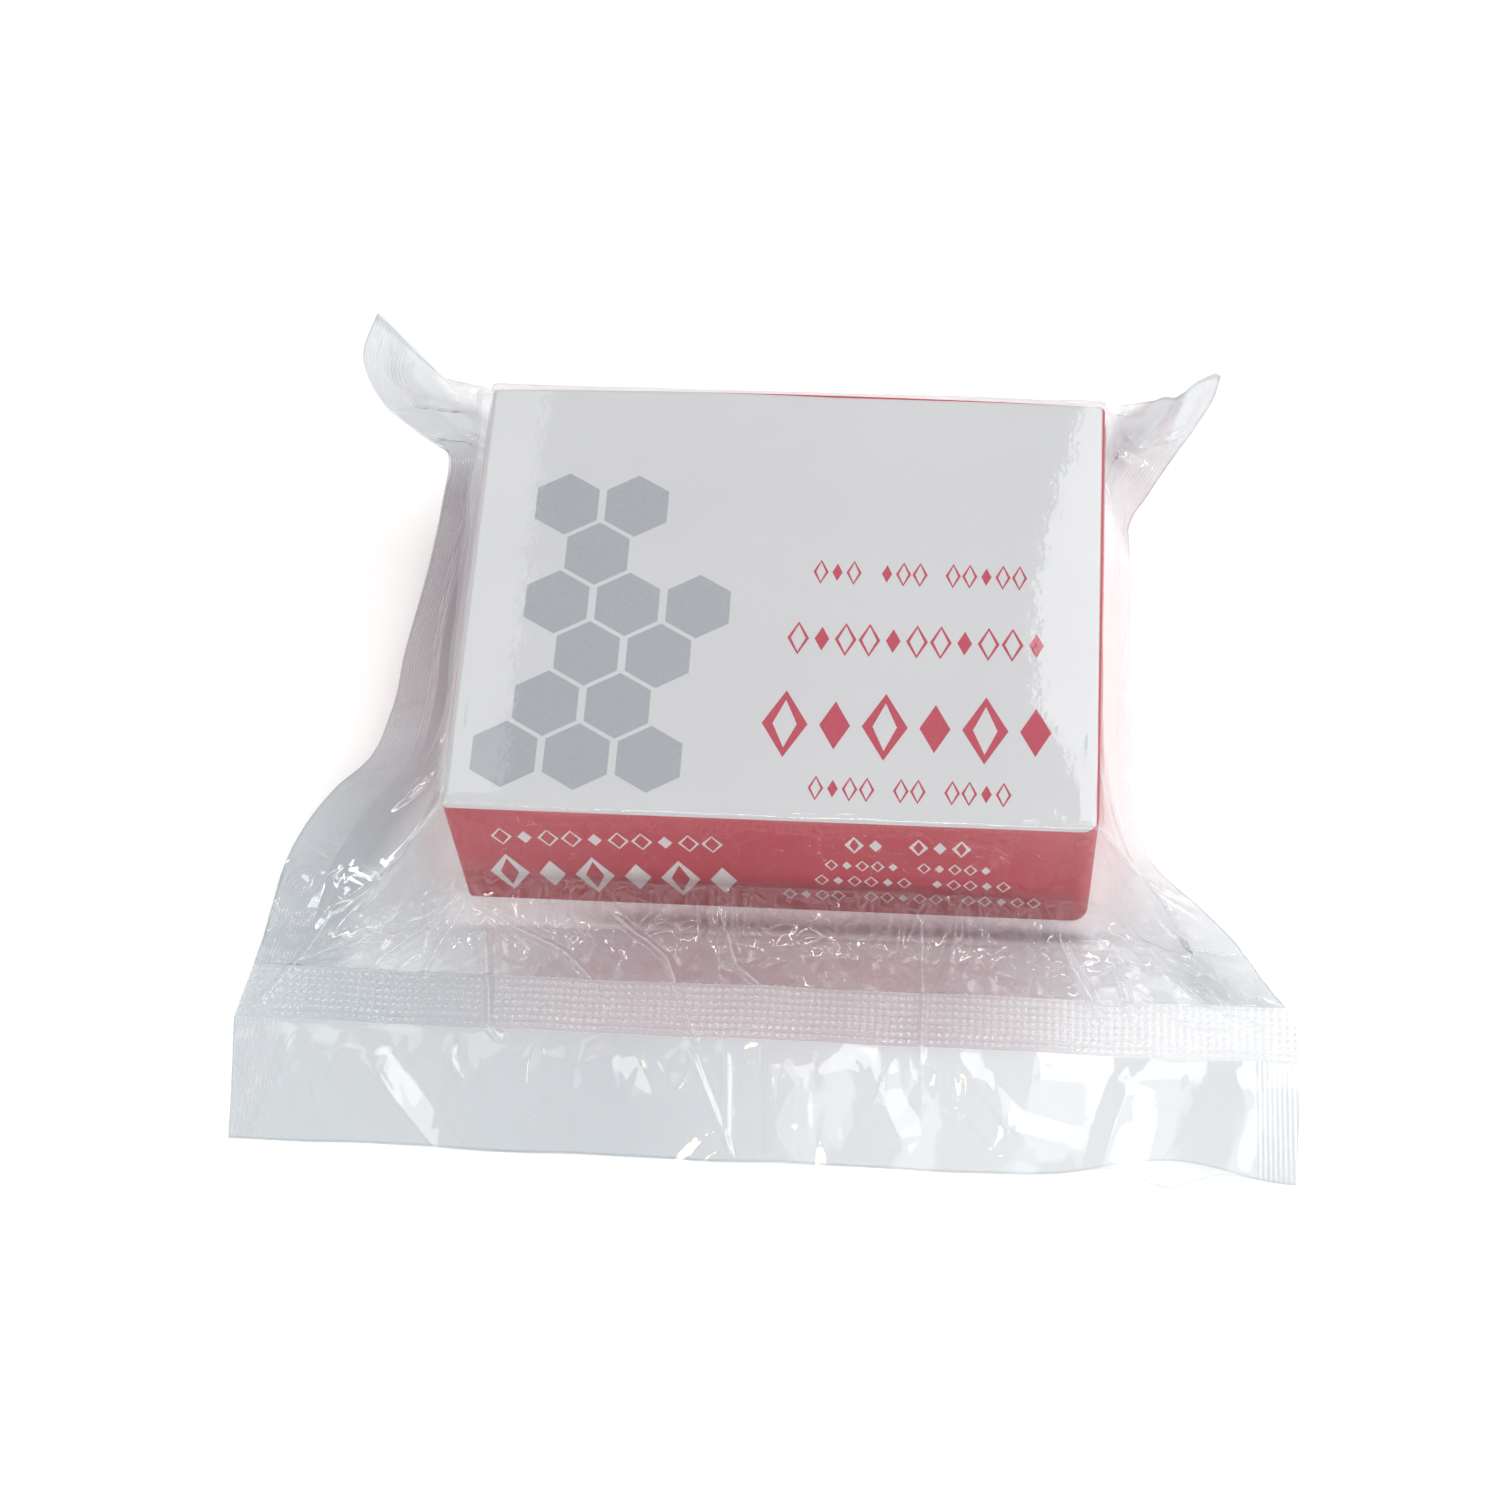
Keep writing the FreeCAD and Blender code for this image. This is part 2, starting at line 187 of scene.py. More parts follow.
def right_root():
    """Where the webs meet on the right."""
    return flowing([
        [(46.8, 32.4, 26.6), (46.2, 32.2, 24.4), (45.2, 31.9, 21.8)],
        [(43.2, 31.2, 18.0), (41.4, 28.4, 14.6), (HALF_X, 24, FIN_HEIGHT)],
        [(HALF_X, 5, FIN_HEIGHT), (HALF_X, -14, FIN_HEIGHT)],
        [(42.4, -20.0, 12.4), (45.8, -27.2, 9.4), (50.0, CREASE_Y, 6.2)],
        [(52.0, -34.6, 3.4), (55.6, -37.6, 1.8)],
        [(60.5, WELD_IN_Y, FLAT)],
    ])


def end_fin(side):
    """The stretch along the back weld, which is folded down behind the box."""
    return [(side * (HALF_X - 2.4), BACK_Y + 4, 18), (side * HALF_X, BACK_Y, BACK_HEIGHT)]


def upper_edge(side):
    """The top web's line at the box's left edge, side -1, or right edge, side 1."""
    x = side * HALF_X
    line = folded(end_fin(side) + [
        (x, BACK_Y, LID_TOP), (x, TURN_Y, LID_TOP), (x, FRONT_Y, LID_TOP), (x, FRONT_Y, WALL_FOOT),
        (side * GATHER_HALF_WIDTH, WELD_IN_Y, FLAT),
    ])
    sag = np.sin(np.linspace(0, math.pi, ROWS[FRONT] + 1)) ** 1.2
    line[STARTS[FRONT]:] += sag[:, None] * np.array([0, 0.9, -1.9])
    return line


def lower_edge(side):
    """The lower web's line at the same edge: down the back wall and out along the surface."""
    x = side * HALF_X
    return folded(end_fin(side) + [
        (x, BACK_Y, FLAT), (x, TURN_Y, FLAT), (x, FRONT_Y, FLAT), (x + side * 6, FRONT_Y - 4, FLAT),
        (side * GATHER_HALF_WIDTH, WELD_IN_Y, FLAT),
    ])


def web_lines(edge):
    """A web's lines, from its left side to its right one."""
    return [left_tip(), left_root(), edge(-1), edge(1), right_root(), right_tip()]


# ---------------------------------------------------------------- grids
def across(lines, steps):
    """Rows of points that run straight from line to line."""
    parts = []
    for a, b, count in zip(lines, lines[1:], steps):
        share = np.arange(count)[None, :, None] / count
        parts.append(a[:, None] * (1 - share) + b[:, None] * share)
    return np.concatenate(parts + [lines[-1][:, None]], axis=1)


def facings(grid):
    """Unit normals of a grid, upwards where it lies flat."""
    normal = np.cross(np.gradient(grid, axis=0), np.gradient(grid, axis=1))
    return normal / np.maximum(np.linalg.norm(normal, axis=2, keepdims=True), 1e-9)


def walked(grid, axis):
    """How far it is to each point of a grid from the start of its column, axis 0, or row, axis 1."""
    steps = np.linalg.norm(np.diff(grid, axis=axis), axis=2)
    return np.concatenate([np.zeros_like(steps.take([0], axis)), np.cumsum(steps, axis=axis)], axis=axis)


def softened(grid, passes):
    """Rounds the folds of a grid. Its border stays."""
    grid = grid.copy()
    for _ in range(passes):
        inner = grid[1:-1, 1:-1]
        neighbours = grid[:-2, 1:-1] + grid[2:, 1:-1] + grid[1:-1, :-2] + grid[1:-1, 2:]
        grid[1:-1, 1:-1] = inner / 2 + neighbours / 8
    return grid


def off_the_box(grid, gap):
    """Moves points that are inside the box, or nearer than gap, straight out of it."""
    away = grid - BOX_CENTRE
    core = np.abs(away) - (BOX_HALF - BOX_EDGE)
    out = np.maximum(core, 0)
    reach = np.linalg.norm(out, axis=2)
    deep = core.max(axis=2)
    depth = np.where(reach > 0, reach, deep) - BOX_EDGE
    nearest = (core == deep[..., None]).astype(float)
    way = np.where(reach[..., None] > 0, out / np.maximum(reach, 1e-9)[..., None], nearest) * np.sign(away)
    return grid + way * np.maximum(gap - depth, 0)[..., None]


def facets(u, v, size_u, size_v, seed):
    """Heights from -1 to 1 at the places u, v of a flat film, straight between scattered points."""
    rng = np.random.default_rng(seed)
    a, b = u / size_u, v / size_v
    columns, rows = int(a.max()) + 6, int(b.max()) + 6
    spots = np.stack(np.meshgrid(np.arange(columns), np.arange(rows)), axis=2) - 2.0
    spots += rng.uniform(-0.38, 0.38, spots.shape)
    heights = rng.uniform(-1, 1, (rows, columns))
    turned = rng.random((rows, columns)) < 0.5
    result = np.zeros(np.broadcast(a, b).shape)
    for down in (1, 2, 3):
        for right in (1, 2, 3):
            i, k = np.floor(a).astype(int) + right, np.floor(b).astype(int) + down
            corners = [(k, i), (k, i + 1), (k + 1, i + 1), (k + 1, i)]
            for one, two, three, when in ((0, 1, 2, True), (0, 2, 3, True), (0, 1, 3, False), (1, 2, 3, False)):
                (px, py), (qx, qy), (rx, ry) = [np.moveaxis(spots[corners[n]], -1, 0) for n in (one, two, three)]
                area = (qx - px) * (ry - py) - (qy - py) * (rx - px)
                s = ((a - px) * (ry - py) - (b - py) * (rx - px)) / area
                t = ((qx - px) * (b - py) - (qy - py) * (a - px)) / area
                inside = (s >= 0) & (t >= 0) & (s + t <= 1) & (turned[k, i] == when)
                value = sum(heights[corners[n]] * w for n, w in ((one, 1 - s - t), (two, s), (three, t)))
                result = np.where(inside, value, result)
    return result


def middles(steps):
    """The middle of each stretch of a row or column with the steps given."""
    ends = np.cumsum((0,) + steps)
    return (ends[1:] + ends[:-1]) / 2


def blocks(table, row_marks, column_marks, shape):
    """A smooth field over a grid from a table of values at its marks."""
    table = np.array(table, float)
    by_column = np.stack([np.interp(np.arange(shape[1]), column_marks, row) for row in table])
    return np.stack([np.interp(np.arange(shape[0]), row_marks, column) for column in by_column.T], axis=1)


# ---------------------------------------------------------------- creases
# Each crease has its points (x, y) from above, its height, and how far it reaches to the left and to the right of
# its line. The right flank of a crease faces the soft boxes and shines, and the left one is dark.
CROSSING = (        # from the box's foot over the weld
    (((-38.8, -33.5), (-27.0, -38.6), (-23.0, -42.4), (-20.7, -47.0)), 0.4, 0.5, 0.4),
    (((-22.2, -33.3), (-16.5, -36.6), (-13.6, -39.0), (-9.1, -50.0)), 0.55, 0.5, 0.45),
    (((-37.6, -36.0), (-36.6, -43.0), (-35.9, -49.0), (-34.4, -51.0)), 0.7, 0.4, 0.8),
    (((-6.5, -33.5), (-4.6, -39.5), (-1.0, -42.5)), 0.45, 0.45, 0.4),
    (((19.1, -33.4), (19.7, -43.6), (19.6, -52.0)), 0.6, 0.4, 0.4),
    (((36.7, -34.0), (38.9, -38.7), (42.9, -45.5)), 0.65, 0.5, 0.8),
    (((43.6, -36.7), (46.7, -44.6)), 0.5, 0.5, 0.7),
    (((-66.2, -47.8), (-61.2, -41.2), (-57.6, -35.6), (-51.2, -32.0)), 0.6, 0.6, 0.6),
    (((42.0, -33.4), (50.3, -34.7), (60.2, -36.8)), 0.5, 0.7, 0.6),
    (((-40.6, -32.4), (-46.0, -36.6), (-52.0, -41.5)), 0.6, 0.5, 0.4),
    (((-40.2, -33.6), (-43.2, -38.0), (-45.4, -43.0)), 0.6, 0.4, 0.5),
    (((-46.6, -33.0), (-52.0, -37.2), (-58.4, -41.2)), 0.5, 0.6, 0.5),
    (((-55.4, -35.4), (-50.2, -37.6), (-45.4, -36.8)), 0.45, 0.5, 0.4),
    (((-63.0, -42.4), (-56.0, -38.8), (-50.0, -38.4)), 0.5, 0.6, 0.5),
)
COMBED = tuple(     # the fine slanting wrinkles at the right
    (((46.4 + 1.5 * n, -40.6 - 0.3 * n), (56.4 + 1.3 * n, -46.8 + 0.35 * n)), 0.22, 0.35, 0.35) for n in range(6))
SKIRT_FOLDS = (
    (((-52.8, -48.0), (-51.0, -55.4), (-48.6, -58.2), (-37.5, -70.5)), 1.1, 9.0, 3.4),
    (((-62.4, -49.5), (-61.2, -55.0), (-58.0, -62.0)), 0.45, 1.5, 1.3),
    (((-40.2, -50.2), (-40.3, -54.2), (-38.2, -57.4)), 0.35, 0.5, 0.5),
    (((-9.8, -49.4), (-9.7, -51.4), (-7.4, -56.7), (-4.9, -62.0), (-3.0, -66.4)), 0.4, 0.5, 0.4),
    (((-6.1, -48.5), (-4.9, -52.5), (-4.5, -57.9), (-4.1, -64.5)), 0.35, 0.4, 0.4),
    (((-0.7, -47.6), (0.6, -52.3), (1.2, -57.7), (1.8, -66.4)), 0.8, 0.9, 5.2),
    (((13.0, -49.0), (14.5, -56.0), (19.5, -66.4)), 0.3, 4.0, 3.0),
    (((24.2, -48.4), (26.4, -55.0), (31.0, -60.6), (38.5, -62.4)), 0.36, 3.0, 3.0),
    (((46.2, -53.0), (44.6, -58.0), (42.6, -66.0)), 0.36, 2.4, 5.0),
    (((58.6, -48.5), (60.6, -56.0), (58.0, -66.0)), 0.25, 3.0, 2.4),
)

# The folds of the fins and ears, by the distance from the film's side and the way along it from its back end.
LEFT_FOLDS = (
    (((0.3, 17.5), (4.5, 15.0), (10.0, 17.5)), 1.1, 1.6, 1.0),
    (((3.4, 2.0), (3.2, 9.0), (5.0, 15.0)), 0.9, 2.4, 1.2),
    (((1.0, 24.0), (6.0, 25.0), (11.0, 31.5)), 0.9, 1.4, 0.8),
    (((3.6, 33.0), (4.4, 60.0), (5.2, 78.0)), 0.3, 0.4, 0.4),
    (((7.6, 36.0), (8.2, 58.0), (7.0, 80.0)), 0.35, 0.5, 0.5),
    (((12.0, 62.0), (9.6, 72.0), (6.2, 82.0)), 0.45, 0.5, 0.5),
)
RIGHT_FOLDS = (
    (((0.5, 11.0), (4.5, 15.0), (9.5, 15.5)), 1.1, 1.0, 1.4),
    (((4.2, 1.0), (3.6, 9.0), (2.0, 14.0)), 0.8, 1.0, 1.8),
    (((1.0, 20.0), (5.0, 19.0), (9.0, 22.0)), 0.8, 0.9, 1.2),
)

ROUNDING = 0.18     # radius at the top of a crease
CREST = 0.17        # half the width of the white line along it, partly a painted highlight


def creased(x, y, creases, crest_whitening_and_highlight=False):
    """Height of creases: sharp along their lines, with straight flanks, and fading towards their ends.

    When asked for the crest lines, it is how white the film is along their lines, from 0 to 1: partly the film's
    whitening at a fold, partly a painted highlight."""
    x, y = np.broadcast_arrays(x, y)
    total = np.zeros(x.shape)
    for points, height, to_left, to_right in creases:
        near, side, along = np.full(x.shape, np.inf), np.zeros(x.shape), np.zeros(x.shape)
        count = len(points) - 1
        for number, ((ax, ay), (bx, by)) in enumerate(zip(points, points[1:])):
            dx, dy = bx - ax, by - ay
            t = np.clip(((x - ax) * dx + (y - ay) * dy) / (dx * dx + dy * dy), 0, 1)
            off_x, off_y = x - ax - t * dx, y - ay - t * dy
            away = np.hypot(off_x, off_y)
            closer = away < near
            near = np.where(closer, away, near)
            side = np.where(closer, off_x * dy - off_y * dx, side)
            along = np.where(closer, (number + t) / count, along)
        reach = np.where(side < 0, to_right, to_left)
        fade = np.clip(np.minimum(along, 1 - along) * 5 + 0.25, 0, 1)
        if crest_whitening_and_highlight:
            total = np.maximum(total, fade * hump(near, 0, CREST))
            continue
        near = np.hypot(near, ROUNDING) - ROUNDING
        total += height * fade * np.maximum(0, 1 - near / reach)
    return total


def swell(x, y):
    """Height of the film above the surface in front of the box, without its creases."""
    return (0.45 + 0.16 * np.sin(x * 0.21 + y * 0.1) + 0.14 * np.sin(x * 0.083 + 1.0)
            + 0.1 * np.sin(x * 0.47 - y * 0.2))


def ripple(x, y):
    """Height of the welded film above the surface, in front of the box."""
    return swell(x, y) + creased(x, y, CROSSING)


# ---------------------------------------------------------------- the two webs
# How much a web is crumpled, in millimetres, along each stretch. Both webs have the same on their fins.
FIN_CRUMPLE = (0.7, 0.6, 0.15, 0.25, 0.35, 0.3)
UPPER_CRUMPLE = FIN_CRUMPLE, (0.7, 0.4, 0.1, 0.3, 1.0, 1.5), (0.3, 0.1, 0.1, 0.1, 0.3, 0.5)
LOWER_CRUMPLE = FIN_CRUMPLE, (0.7, 0.5, 0.25, 0.4, 0.4, 0.3), (0.4, 0.1, 0.05, 0.05, 0.15, 0.3)


def crumpled(reach, along, seed):
    """Heights of a crumpled film: facets of three sizes."""
    return (0.55 * facets(reach, along, 7.5, 11.0, seed) + 0.3 * facets(reach, along, 3.2, 4.6, seed + 1)
            + 0.15 * facets(reach, along, 1.5, 2.1, seed + 2))


def notched(base, steps):
    """Cuts the right ear's end to its outline: a rounded tip, and a dip where it leaves the box."""
    last, count = STARTS[ALONG], steps[-1]
    rows = np.arange(last + 1)
    for column in range(count + 1):
        share = column / count
        dent = 3.2 * hump(share, 0.36, 0.15) + 1.6 * hump(share, 1, 0.07)
        line = base[:last + 1, column - count - 1]
        at = dent + rows * (1 - dent / last)
        line[:] = np.column_stack([np.interp(at, rows, line[:, axis]) for axis in range(3)])
    return base


def web(lines, steps, amounts):
    """A web's grid of points, and the heights of its crumpling and its named folds.

    amounts has the crumpling of fin, side panel and middle by stretch. It goes by the distance from
    the nearer side, so that both webs have the same on their fins."""
    base = notched(softened(across(lines, steps), 10), steps)
    shape = base.shape[:2]
    widths = np.linalg.norm(np.diff(base, axis=1), axis=2).mean(axis=0)
    from_left = np.concatenate([[0.0], np.cumsum(widths)])[None, :]
    height, named = np.zeros(shape), np.zeros(shape)
    middle, overlap = shape[1] // 2, int(0.12 * steps[2])
    right_share = faded(base[..., 0], -9, 9)
    for half, share, reach, line, folds, seed in (
            (slice(None, middle + overlap), 1 - right_share, from_left, lines[0], LEFT_FOLDS, 11),
            (slice(middle - overlap, None), right_share, from_left[:, -1:] - from_left, lines[-1], RIGHT_FOLDS, 21)):
        along = chord_lengths(line)[:, None]
        height[:, half] += share[:, half] * crumpled(reach[:, half], along, seed)
        named[:, half] += creased(reach[:, half], along, folds)

    mirrored = [[fin, panel, middle, panel, fin] for fin, panel, middle in zip(*amounts)]
    return base, height * blocks(mirrored, middles(ROWS), middles(steps), shape) + named


def gathers(base):
    """The pleats of the top web between the box's foot and the weld."""
    share = np.linspace(0, 1, ROWS[FRONT] + 1)[:, None]
    x, down = base[STARTS[FRONT]:, :, 0], share * 14
    u = x + 90
    loose = np.sin(math.pi * share ** 0.75) ** 0.7
    bunched = 0.4 + 1.1 * hump(x, -6.5, 4.5) + 0.75 * hump(x, 20, 9) + 0.5 * hump(x, -28, 5)
    pleats = 0.46 * facets(u, down, 1.7, 9.0, 31) + 0.24 * facets(u, down, 0.9, 4.5, 32)
    crumple = 0.32 * facets(u, down, 3.4, 3.0, 33) + 0.2 * facets(u, down, 1.5, 1.4, 34)
    return 1.5 * (pleats * bunched + crumple) * loose


def corner_ridge(base):
    """The sharp ridges that run from the box's front top corners out to the fins, over the side panels."""
    down = walked(base, 0)
    _, left_end, right_start, _, _ = np.cumsum(UPPER_STEPS)
    columns = np.arange(base.shape[1])
    beside_box = np.clip((np.maximum(left_end - columns, columns - right_start) + 4) / 12, 0, 1)
    off_fin = np.clip(np.minimum(columns, columns[-1] - columns) / UPPER_STEPS[0] * 4 - 2.6, 0, 1)
    return 0.6 * hump(down, down[STARTS[WALL]], 0.5) * beside_box * off_fin


def on_top_of_box(base):
    """1 where a web lies on the box's top, 0 beyond its edges."""
    return (base[..., 2] > LID_TOP - 0.05) * faded(HALF_X - np.abs(base[..., 0]), 0, 1.5)


def taut_top(base):
    """The slight dome of the taut film over the box's right half, and its faint waves."""
    x, y = base[..., 0], base[..., 1]
    tilt = 0.0105 * np.cos((y + 3) * math.pi / 56) - 0.0015 - 0.011 * faded(-y, 12, 32)
    ramp = np.clip(HALF_X - x, 0, 13.6) * faded(x, -15, 27)
    waves = 0.004 * np.sin(0.22 * x + 0.75 * y) + 0.0014 * np.sin(0.45 * x - 1.3 * y)
    return tilt * ramp + waves


def upper_web():
    """The top web's grid, the same grid before it was crumpled, and how white its creases are, partly from the film's
    whitening and partly as painted highlights.
    """
    base, height = web(web_lines(upper_edge), UPPER_STEPS, UPPER_CRUMPLE)
    on_box, ridge = on_top_of_box(base), corner_ridge(base)
    height = height * (1 - 0.995 * on_box) + taut_top(base) * on_box + ridge
    height[STARTS[FRONT]:] += gathers(base)
    past_edge = slice(STARTS[WALL], None)       # the rows in front of the box's top
    x, y = base[past_edge, :, 0], base[past_edge, :, 1]
    ahead = faded(-y, -FRONT_Y, 1.5 - FRONT_Y)
    height[past_edge] += 1.4 * creased(x, y, CROSSING + COMBED) * ahead
    grid = base + facings(base) * (height + PLY / 2)[..., None]
    # White lines along the corner ridges and the creases in front of the box: painted highlights, with some whitening
    # of the folded film.
    crest_whitening_and_highlight = 4.0 * ridge
    crest_whitening_and_highlight[past_edge] += 1.2 * creased(x, y, CROSSING, True) * ahead
    return ribbed(settle(grid, base), base), base, crest_whitening_and_highlight


def lower_web():
    """The lower web's grid, and the same grid before it was crumpled."""
    base, height = web(web_lines(lower_edge), LOWER_STEPS, LOWER_CRUMPLE)
    grid = base + facings(base) * (height - PLY / 2)[..., None]
    return settle(grid, base, floor=0.02), base


def settle(grid, base, floor=0.2):
    """Takes a web's grid off the box and the floor, and onto the weld's ripples at its front."""
    share = np.linspace(0, 1, ROWS[FRONT] + 1)[:, None] ** 3
    front = base[STARTS[FRONT]:]
    grid[STARTS[FRONT]:, :, 2] += share * (swell(front[..., 0], front[..., 1]) - 0.1)
    grid = off_the_box(grid, 0.03)
    grid[..., 2] = np.maximum(grid[..., 2], floor)
    return grid


def from_the_side(base):
    """How far each point of a web is from its nearer side."""
    from_left = walked(base, 1)
    return np.minimum(from_left, from_left[:, -1:] - from_left)


def ribbed(grid, base):
    """Adds the fine ribs of the side welds."""
    reach = from_the_side(base)
    window = np.clip((SIDE_WELD - reach) / 0.3, 0, 1)
    return grid + facings(grid) * (RIB_HEIGHT * np.sin(reach * 2 * math.pi / RIB_PITCH) * window)[..., None]


def in_front(x):
    """1 in front of the box's middle, fading to 0 beside it."""
    return np.exp(-((x - 3) / 38) ** 4)


def density_and_painted_shade(base, upper=True):
    """How thick and cloudy a web is by its ears, fins and gathers, with painted shade: the box's shadow over the left
    fin, beside the box, in front of it and in a dark line below its front wall.
    """
    x, y, reach = base[..., 0], base[..., 1], from_the_side(base)
    rows = np.arange(len(base))[:, None]
    corner, along, to_front, wall, front = STARTS[CORNER:FRONT + 1]
    on_right = faded(x, -20, 20)
    marks = (0, corner + 12, along, to_front - 12, to_front + 24, wall, front)
    # The left fin is far denser than the right one: a little for its welded plies, mostly painted shade of the box's
    # shadow, which falls to the left.
    left_fin_and_shade = np.interp(rows, marks, (0.26, 0.4, 0.86, 0.6, 0.34, 0.2, 0.16))
    on_right_fin = np.interp(rows, marks, (0.26, 0.28, 0.0, 0.0, 0.0, 0.06, 0.1)) * (1 + 0.8 * faded(reach, 4, 7))
    fin = (1 - on_right) * left_fin_and_shade + on_right * on_right_fin
    welded = 1 - faded(reach, SIDE_WELD - 0.5, SIDE_WELD + 0.5)
    ribs = 0.24 * upper * np.sin(reach * 2 * math.pi / RIB_PITCH) * welded
    fin = fin * (1 + ribs) * (1 - faded(reach, 9.5, 13.0))
    # Painted shade: a darker strip beside the box's left wall, where its contact shadow falls.
    beside_box = hump(reach, 11.6, 1.4) * faded(rows, corner, corner + 12) * (1 - faded(rows, along, to_front))
    ear_curl = hump(reach, 4.2, 1.3) * hump(rows, 9, 5)
    on_left = (1 - on_right) * (0.25 * beside_box + 0.12 * ear_curl)
    # In front of the box: partly the thicker film of the gathers, partly painted shade of the box's shadow. The film
    # sloping down at the box's foot gets painted shade only.
    ahead = in_front(x) * (0.36 * faded(rows, front - 10, front + 4) + 0.3 * hump(rows, front, 4))
    past_corner = faded(rows, to_front, wall) * faded(np.abs(x), 41, 45)
    painted_slope_shade = (0.22 - 0.07 * on_right) * np.maximum(faded(rows, front - 4, front + 10), past_corner)
    edge = 0.2 * (reach < 0.3) + 0.2 * (rows < 1.5)
    # Painted shadow: the dark line below the box's front wall.
    below_wall = hump(y, -33.5 - 0.9 * upper, 0.9) * (rows > wall)
    shadow = 0.9 * below_wall * faded(x, -30, -8) * (1 - faded(x, 32, 47))
    return np.clip(0.02 + fin + on_left + ahead + painted_slope_shade + edge + shadow, 0, 1)


def painted_red_bounce(base):
    """Painted red bounce light: how far a web's thick parts are tinted mauve, as if lit by the red card beside them,
    rather than blue.
    """
    x, rows = base[..., 0], np.arange(len(base))[:, None]
    beside = faded(rows, STARTS[ALONG] - 16, STARTS[ALONG] + 2) * (1 - faded(rows, STARTS[TO_FRONT] - 6, STARTS[WALL]))
    return np.maximum(0.55 * beside * (1 - faded(np.abs(x), 56, 62)), in_front(x))


# ---------------------------------------------------------------- the front weld and the skirt
WELD_STEPS = 800, 60                # across the pouch, and from the weld's inner edge to its outer one
SKIRT_ROWS = 80
RIBBED_END, RIBBED_STEPS = 0.055, 70    # the share of the skirt that each side weld has, and its finer steps


def weld_band():
    """The front weld, both plies pressed into one with a waffle of dots, how thick it is with painted shade that
    darkens it to the left, and how milky.
    """
    share = np.linspace(0, 1, WELD_STEPS[1] + 1)[:, None]
    left = mix(WELD_IN_X[0], WELD_OUT_X[0], share)
    right = mix(WELD_IN_X[1], WELD_OUT_X[1], np.minimum(share * 2.2, 1))
    x = mix(left, right, np.linspace(0, 1, WELD_STEPS[0] + 1)[None, :])
    y = WELD_IN_Y - END_WELD * share + 0 * x
    wave_x, wave_y = np.sin(x * 2 * math.pi / WAFFLE), np.sin(y * 2 * math.pi / WAFFLE)
    dots = (1 + wave_x) * (1 + wave_y) / 4
    lined = faded(share, 0.72, 0.8)     # towards the skirt the dots give way to lines
    kept = 1 - 0.85 * hump(x, -36.2, 0.9) - 0.7 * hump(x, 19.7, 0.6)
    printed = kept * (0.75 + 0.25 * np.sin(x * 0.37 + 1.0) * np.sin(x * 0.11))
    z = ripple(x, y) + 0.05 + creased(x, y, COMBED)
    z = z + printed * (0.26 * dots * (1 - 0.5 * lined) + 0.08 * wave_y * lined)
    # Denser towards the left: painted shade, on top of the welded plies' own thickness.
    thickness_and_shade = 0.26 + 0.52 * (1 - faded(x, 20, 52)) * (0.75 + 0.25 * faded(x, -67, -55)) + 0 * share
    return np.stack([x, y, z], axis=2), thickness_and_shade, 0.85 * printed * dots


def side_ribs(x):
    """The ribs of the side welds where they cross the skirt, -1 to 1."""
    return np.sin(x * 2 * math.pi / 0.62) * np.clip((np.abs(x + 0.5) - 62.0) / 0.4, 0, 1)


def skirt_ply(lift, seed):
    """A ply of the skirt, in front of the weld, how thick it is with painted shade that darkens it towards the left,
    and how milky.

    The upper ply's lift is how far it stands off the lower one, whose lift is 0."""
    share = np.linspace(0, 1, SKIRT_ROWS + 1)[:, None]
    ribbed_end = np.linspace(0, RIBBED_END, RIBBED_STEPS)
    plain = np.linspace(RIBBED_END, 1 - RIBBED_END, 402)[1:-1]
    across_it = np.concatenate([ribbed_end, plain, 1 - ribbed_end[::-1]])[None, :]
    x = mix(mix(WELD_OUT_X[0], SKIRT_X[0], share), mix(WELD_OUT_X[1], SKIRT_X[1], share), across_it)
    depth = SKIRT - 2.9 * hump(x, 51, 10) + 3.6 * hump(x, 51, 5) * (lift == 0)
    y = WELD_OUT_Y - depth * share
    u, v = x + 80, share * SKIRT
    folds = (0.45 + 0.5 * lift) * creased(x, y, SKIRT_FOLDS)
    apart = lift * (0.4 + 0.3 * np.sin(x * 0.19 + seed) * np.sin(x * 0.045 + 0.7 * seed))
    broad = (0.22 - 0.19 * faded(x, 10, 32)) * facets(u, v, 8.0, 11.0, seed)
    fine = (0.2 - 0.14 * faded(x, 20, 40)) * facets(u, v, 2.0, 4.0, seed + 4) * (1 - share)
    ribs = side_ribs(x)
    z = ripple(x, y) + 0.05 + faded(share, 0, 0.25) * (folds + apart + broad + fine) + 0.014 * ribs
    edge = (share > 0.985) | (across_it < 0.0015) | (across_it > 0.9985)
    # Painted shade: denser towards the left, where the floor under the skirt lies in shade. The cut edges are denser
    # for the film's own edge.
    thickness_and_shade = np.interp(x, (-52, -19, 4, 33, 62), (0.25, 0.29, 0.21, 0.16, 0.19)) + 0.2 * edge
    return np.stack([x, y, np.maximum(z, 0.05)], axis=2), thickness_and_shade, 0.8 * np.maximum(ribs, 0)


# ---------------------------------------------------------------- meshes
FILM_FIELDS = "haze", "thickness_and_shade", "warm"       # what each point of a film's mesh tells its material


def creasing(grid):
    """How sharply a grid bends at each point, from 0 to 1."""
    normal = facings(grid)
    bend = 0
    for axis in (0, 1):
        turn, spacing = [np.linalg.norm(np.gradient(field, axis=axis), axis=2) for field in (normal, grid)]
        bend = bend + turn / np.maximum(spacing, 0.05)
    return np.clip(0.3 * bend, 0, 1)


